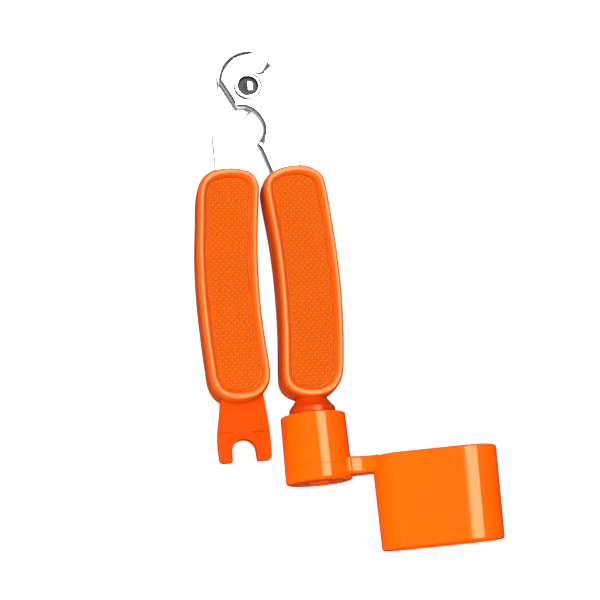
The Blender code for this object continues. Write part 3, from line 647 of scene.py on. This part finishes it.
# ------------------------------------------------------------------ fork
fork = plate("left_core_and_fork", clean(fork_outline(), 0.06), -2.1, 2.1, top=0.35, bottom=0.35, rows=4)
left_step = [(-21.0, -113.75), (-14.0, -113.75), (-16.3, -116.3), (-15.9, -119.0), (-15.9, -125.0), (-21.0, -125.0)]
right_step = [(-1.0, -114.1), (-9.2, -114.1), (-6.95, -116.4), (-7.3, -119.0), (-7.2, -125.0), (-1.0, -125.0)]
steps_ = []
for s in (left_step, right_step):
    steps_ += [plate("step", s, 1.6, 6.0, tools), plate("step", s, -6.0, -1.6, tools)]
cut(fork, *steps_)
core = plate("core", grip_ring(-1, 4.2), -3.2, 3.2, tools)
join(fork, core)


def bead(p, q, r, z):
    """A low rounded ridge along a step's edge."""
    along = (Vector(q) - Vector(p)).normalized()
    side_ = Vector((-along.y, along.x))
    rings = []
    for k, (t, w) in enumerate(((0.0, 0.35), (0.12, 0.8), (0.3, 1.0), (0.7, 1.0), (0.88, 0.8), (1.0, 0.35))):
        c = Vector(p).lerp(Vector(q), t)
        rings.append([(c.x + side_.x * r * w * math.cos(a_), c.y + side_.y * r * w * math.cos(a_), z + 0.55 * r * w * math.sin(a_))
                      for a_ in [2 * math.pi * i / 16 for i in range(16)]])
    return loft("bead", rings, tools)


join(fork, *[bead(p, q, r, f * z) for f in (1, -1) for p, q, r, z in (
    ((-18.9, -113.6), (-14.2, -113.6), 0.30, 2.05), ((-14.1, -113.7), (-16.0, -116.0), 0.26, 2.03),
    ((-8.6, -113.95), (-4.2, -113.95), 0.30, 2.05), ((-9.0, -114.3), (-7.2, -116.2), 0.55, 1.95))])
cut(fork, plate("slot", inset(rear_tang, -GAP), -4.2, 0.15, tools),
    *[rod("pin", 1.8, (-9.9, y), -5, 5, tools) for y in (-40.0, -55.0)])
done(fork, "left_handle", ["left_handle_core"], [fork_orange], 30)

# ------------------------------------------------------------------ neck, flange and spindle
neck = turned("right_core_and_neck", rounded_profile([
    (0.0, -96.0), (3.0, -96.0), (3.0, -102.6), (4.75, -102.6), (4.75, -104.7, 0.6), (5.35, -105.9, 0.7), (6.9, -107.8, 0.6),
    (7.2, -108.3, 0.4), (7.2, -110.0, 0.3), (4.5, -110.0), (4.5, -126.0, 0.4), (4.0, -126.5), (0.0, -126.5)], 5),
    "Y", (AXIS_X, 0, 0), 96)
join(neck, plate("core", grip_ring(1, 4.2), -3.2, 3.2, tools))
cut(neck, plate("slot", inset(front_tang, -GAP), -0.15, 4.2, tools),
    turned("pilot", [(0.0, -116.0), (1.5, -116.0), (1.5, -128.0), (0.0, -128.0)], "Y", (AXIS_X, 0, 0), 32, tools),
    *[rod("pin", 1.8, (11.2, y), -5, 5, tools) for y in (-40.0, -55.0)])
done(neck, "right_handle", ["right_handle_core"], [neck_orange_painted_shade], 30)

# ------------------------------------------------------------------ winder
HUB_TOP, HUB_BOTTOM = -110.3, -131.1
hub = turned("winder_crank_moulded", rounded_profile([
    (4.8, HUB_TOP), (10.1, HUB_TOP, 0.55), (10.25, -126.05), (10.25, -126.1), (10.17, -126.2), (10.25, -126.3),
    (10.26, -126.35), (10.3, HUB_BOTTOM, 1.1), (6.7, HUB_BOTTOM, 0.15), (6.7, -129.3), (5.5, -129.3), (5.5, -126.5),
    (4.8, -126.5), (4.8, HUB_TOP)], 5), "Y", (AXIS_X, 0, 0), 128)
HEAD_LEFT, HEAD_RIGHT, HEAD_DRAFT = 16.7, 54.95, 1.3
HEAD_TOP, HEAD_BOTTOM = -125.1, -153.45
HEAD_HALF_Z, HEAD_CORNER, HEAD_WALL, HEAD_ROOF = 9.3, 8.3, 2.1, 2.6
HEAD_END = 11.0


def head_loop(wall, y, shrink=0.0):
    share = (HEAD_TOP - y) / (HEAD_TOP - HEAD_BOTTOM)
    left, right = AXIS_X + HEAD_LEFT + wall + shrink, AXIS_X + HEAD_RIGHT - HEAD_DRAFT * share - wall - shrink
    hz, c = HEAD_HALF_Z - wall - shrink, max(HEAD_CORNER - wall - shrink, 0.6)
    wide = max(HEAD_END - wall - shrink, 0.6)                # the free end is broader than it is deep
    tall = max(HEAD_HALF_Z - 0.4 - wall - shrink, 0.6)
    out = []
    corners = ((right - wide, hz - tall, 0, wide, tall), (left + c, hz - c, 90, c, c), (left + c, -hz + c, 180, c, c),
               (right - wide, -hz + tall, 270, wide, tall))
    for k, (cx, cz, a, rx, rz) in enumerate(corners):
        for i in range(15):
            t = math.radians(a + 90 * i / 14)
            out.append((cx + rx * math.cos(t), y, cz + rz * math.sin(t)))
        nx, nz, _, nrx, nrz = corners[(k + 1) % 4]
        flats = 12 if k in (0, 2) else 2
        p = out[-1]
        q = (nx + nrx * math.cos(math.radians(a + 90)), y, nz + nrz * math.sin(math.radians(a + 90)))
        for i in range(1, flats):
            out.append(tuple(p[j] + (q[j] - p[j]) * i / flats for j in range(3)))
    return out


roof, lip = 0.9, 0.7
loops = []
for k in range(7):
    a = math.radians(90 * k / 6)
    loops.append(head_loop(0.0, HEAD_TOP - roof * (1 - math.sin(a)), roof * (1 - math.cos(a))))
loops = loops[::-1]
for k in range(1, 9):
    loops.append(head_loop(0.0, HEAD_TOP - roof + (HEAD_BOTTOM + lip - HEAD_TOP + roof) * k / 8))
for k in range(1, 6):
    a = math.radians(90 * k / 5)
    loops.append(head_loop(0.0, HEAD_BOTTOM + lip * (1 - math.sin(a)), lip * (1 - math.cos(a))))
for k in range(0, 6):
    a = math.radians(90 * k / 5)
    loops.append(head_loop(HEAD_WALL - lip * (1 - math.sin(a)), HEAD_BOTTOM + lip * (1 - math.cos(a))))
for k in range(1, 6):
    loops.append(head_loop(HEAD_WALL, HEAD_BOTTOM + lip + (HEAD_TOP - HEAD_ROOF - 0.5 - HEAD_BOTTOM - lip) * k / 5))
for k in range(1, 5):
    a = math.radians(90 * k / 4)
    loops.append(head_loop(HEAD_WALL + 0.5 * (1 - math.cos(a)), HEAD_TOP - HEAD_ROOF - 0.5 * (1 - math.sin(a))))
head = loft("head", loops, tools)
# clear the cup's inside of the arm: the arm ends inside the head's wall
arm_loops = []
mid, half, edge = (-124.45 - 129.8) / 2, (-124.45 + 129.8) / 2, 0.9
for x in [5.0, 8.6, 9.2] + [9.6 + 0.35 * i for i in range(27)]:
    z = 4.2
    if x < 14.3:
        z += (14.3 - max(x, 9.6)) ** 2 / 18.8
    if x > 15.0:
        z += (x - 15.0) ** 2 / 6.8
    loop = []
    drop = 0.40 * min(max((x - 10.0) / 8.0, 0.0), 1.0)       # the top edge falls towards the head's roof
    for qy, qz, a in ((1, 1, 0), (-1, 1, 90), (-1, -1, 180), (1, -1, 270)):
        for i in range(6):
            t = math.radians(a + 18 * i)
            loop.append((AXIS_X + x, mid + qy * (half - edge) + edge * math.cos(t) - (drop if qy > 0 else 0.0),
                         qz * (z - edge) + edge * math.sin(t)))
    arm_loops.append(loop)
arm = loft("arm", arm_loops, tools)
join(hub, arm)
join(hub, head)
done(hub, "winder", ["winder_crank"], [gloss_orange], 30, turn=True)
cap = turned("hub_end_cap_moulded", rounded_profile([
    (0.0, -129.6), (6.4, -129.6), (6.4, -131.0, 0.3), (3.2, -131.0, 0.2), (2.9, -130.7, 0.2), (0.0, -130.7)], 5),
    "Y", (AXIS_X, 0, 0), 96)
done(cap, "winder", ["hub_end_cap"], [gloss_orange], 30, turn=True)

for node in ("left_tang_pin_upper", "left_tang_pin_lower", "right_tang_pin_upper", "right_tang_pin_lower",
             "spindle_washer", "spindle_screw"):
    o = frame["nodes"][node]
    o.data.materials.clear()
    o.data.materials.append(zinc)

bpy.data.collections.remove(tools)

# ------------------------------------------------------------------ stage
bm = bmesh.new()
R = 3.2
ring0 = [bm.verts.new((R * math.cos(2 * math.pi * i / 96), R * math.sin(2 * math.pi * i / 96), 0)) for i in range(96)]
bm.faces.new(ring0)
floor = from_bm("floor", bm)
floor.location = (0, 0, -0.0006)
fm, fnt, fb = nodes_of("pale_floor")
fn = noise(fnt, 60.0, 3.0, 0.5)
fmix = n_(fnt, "ShaderNodeMix", data_type="RGBA")
fmix.inputs["A"].default_value = (0.26, 0.26, 0.26, 1)
fmix.inputs["B"].default_value = (0.30, 0.30, 0.30, 1)
fnt.links.new(fn.outputs["Fac"], fmix.inputs["Factor"])
fnt.links.new(fmix.outputs["Result"], fb.inputs["Base Color"])
fb.inputs["Roughness"].default_value = 0.9
fb.inputs["Specular IOR Level"].default_value = 0.0
fb.inputs["Emission Color"].default_value = (1, 1, 1, 1)
fb.inputs["Emission Strength"].default_value = 0.92
floor.data.materials.append(fm)
floor.visible_glossy = False     # the gloss shows the studio, not the table

world = bpy.data.worlds.new("studio")
bpy.context.scene.world = world
world.use_nodes = True
wt = world.node_tree
bg = wt.nodes["Background"]
tc = n_(wt, "ShaderNodeTexCoord")
sep = n_(wt, "ShaderNodeSeparateXYZ")
wt.links.new(tc.outputs["Generated"], sep.inputs["Vector"])
height = n_(wt, "ShaderNodeMapRange")
height.inputs["From Min"].default_value, height.inputs["From Max"].default_value = -1.0, 1.0
wt.links.new(sep.outputs["Z"], height.inputs["Value"])
ramp = n_(wt, "ShaderNodeValToRGB")
el = ramp.color_ramp.elements
el[0].position, el[0].color = 0.0, (0.03, 0.03, 0.03, 1)
el[1].position, el[1].color = 1.0, (0.05, 0.05, 0.05, 1)
for at, v in ((0.07, 0.03), (0.20, 0.025), (0.36, 0.02), (0.64, 0.02), (0.75, 0.17), (0.90, 0.15)):
    e = ramp.color_ramp.elements.new(at)
    e.color = (v, v, v, 1)
wt.links.new(height.outputs["Result"], ramp.inputs["Fac"])
path = n_(wt, "ShaderNodeLightPath")
wmix = n_(wt, "ShaderNodeMix", data_type="RGBA")
wmix.inputs["B"].default_value = (0.99, 0.99, 0.99, 1)
wt.links.new(path.outputs["Is Camera Ray"], wmix.inputs["Factor"])
wt.links.new(ramp.outputs["Color"], wmix.inputs["A"])
wt.links.new(wmix.outputs["Result"], bg.inputs["Color"])
bg.inputs["Strength"].default_value = 1.0


def softbox(name, centre, size, radiance, falloff=0.0, gloss=True, diffuse=True):
    """A rectangular light looking straight down. With falloff, its first part along X grows from dark to full."""
    lt = bpy.data.lights.new(name, "AREA")
    lt.shape, lt.size, lt.size_y = "RECTANGLE", size[0], size[1]
    lt.energy = radiance * math.pi * size[0] * size[1]
    if falloff:
        lt.use_nodes = True
        nt = lt.node_tree
        geo = n_(nt, "ShaderNodeNewGeometry")
        split = n_(nt, "ShaderNodeSeparateXYZ")
        nt.links.new(geo.outputs["Position"], split.inputs["Vector"])
        grow = n_(nt, "ShaderNodeMapRange", interpolation_type="SMOOTHSTEP")
        x0 = centre[0] - size[0] / 2
        grow.inputs["From Min"].default_value, grow.inputs["From Max"].default_value = x0, x0 + falloff * size[0]
        nt.links.new(split.outputs["X"], grow.inputs["Value"])
        nt.links.new(grow.outputs["Result"], nt.nodes["Emission"].inputs["Strength"])
    ob = bpy.data.objects.new(name, lt)
    bpy.context.scene.collection.objects.link(ob)
    ob.location = centre
    ob.visible_glossy = gloss
    ob.visible_diffuse = diffuse
    return ob


softbox("overhead_softbox", (0.207, 0.20, 0.72), (0.484, 0.80), 11.5, falloff=0.27, diffuse=False)
softbox("overhead_fill", (-0.42, -0.10, 0.85), (1.0, 1.4), 5.0, gloss=False)
softbox("side_fill", (0.60, 0.0, 0.80), (0.6, 1.2), 1.2, gloss=False)

cam_data = bpy.data.cameras.new("camera")
cam = bpy.data.objects.new("camera", cam_data)
bpy.context.scene.collection.objects.link(cam)
right, up, back = Vector((0.98041, -0.09950, 0.17)), Vector((0.05177, 0.96286, 0.265)), Vector((-0.19005, -0.25101, 0.94914))
m = Matrix((right, up, back)).transposed().to_4x4()
m.translation = PIVOT + Vector((-63.18, -170.33, 368.23)) * MM
cam.matrix_world = m
cam_data.sensor_width, cam_data.lens = 36.0, 36.0 * 1220.0 / 600.0
cam_data.clip_start, cam_data.clip_end = 0.01, 20.0
bpy.context.scene.camera = cam
bpy.context.scene.view_settings.view_transform = "Standard"
bpy.context.scene.view_settings.look = "None"
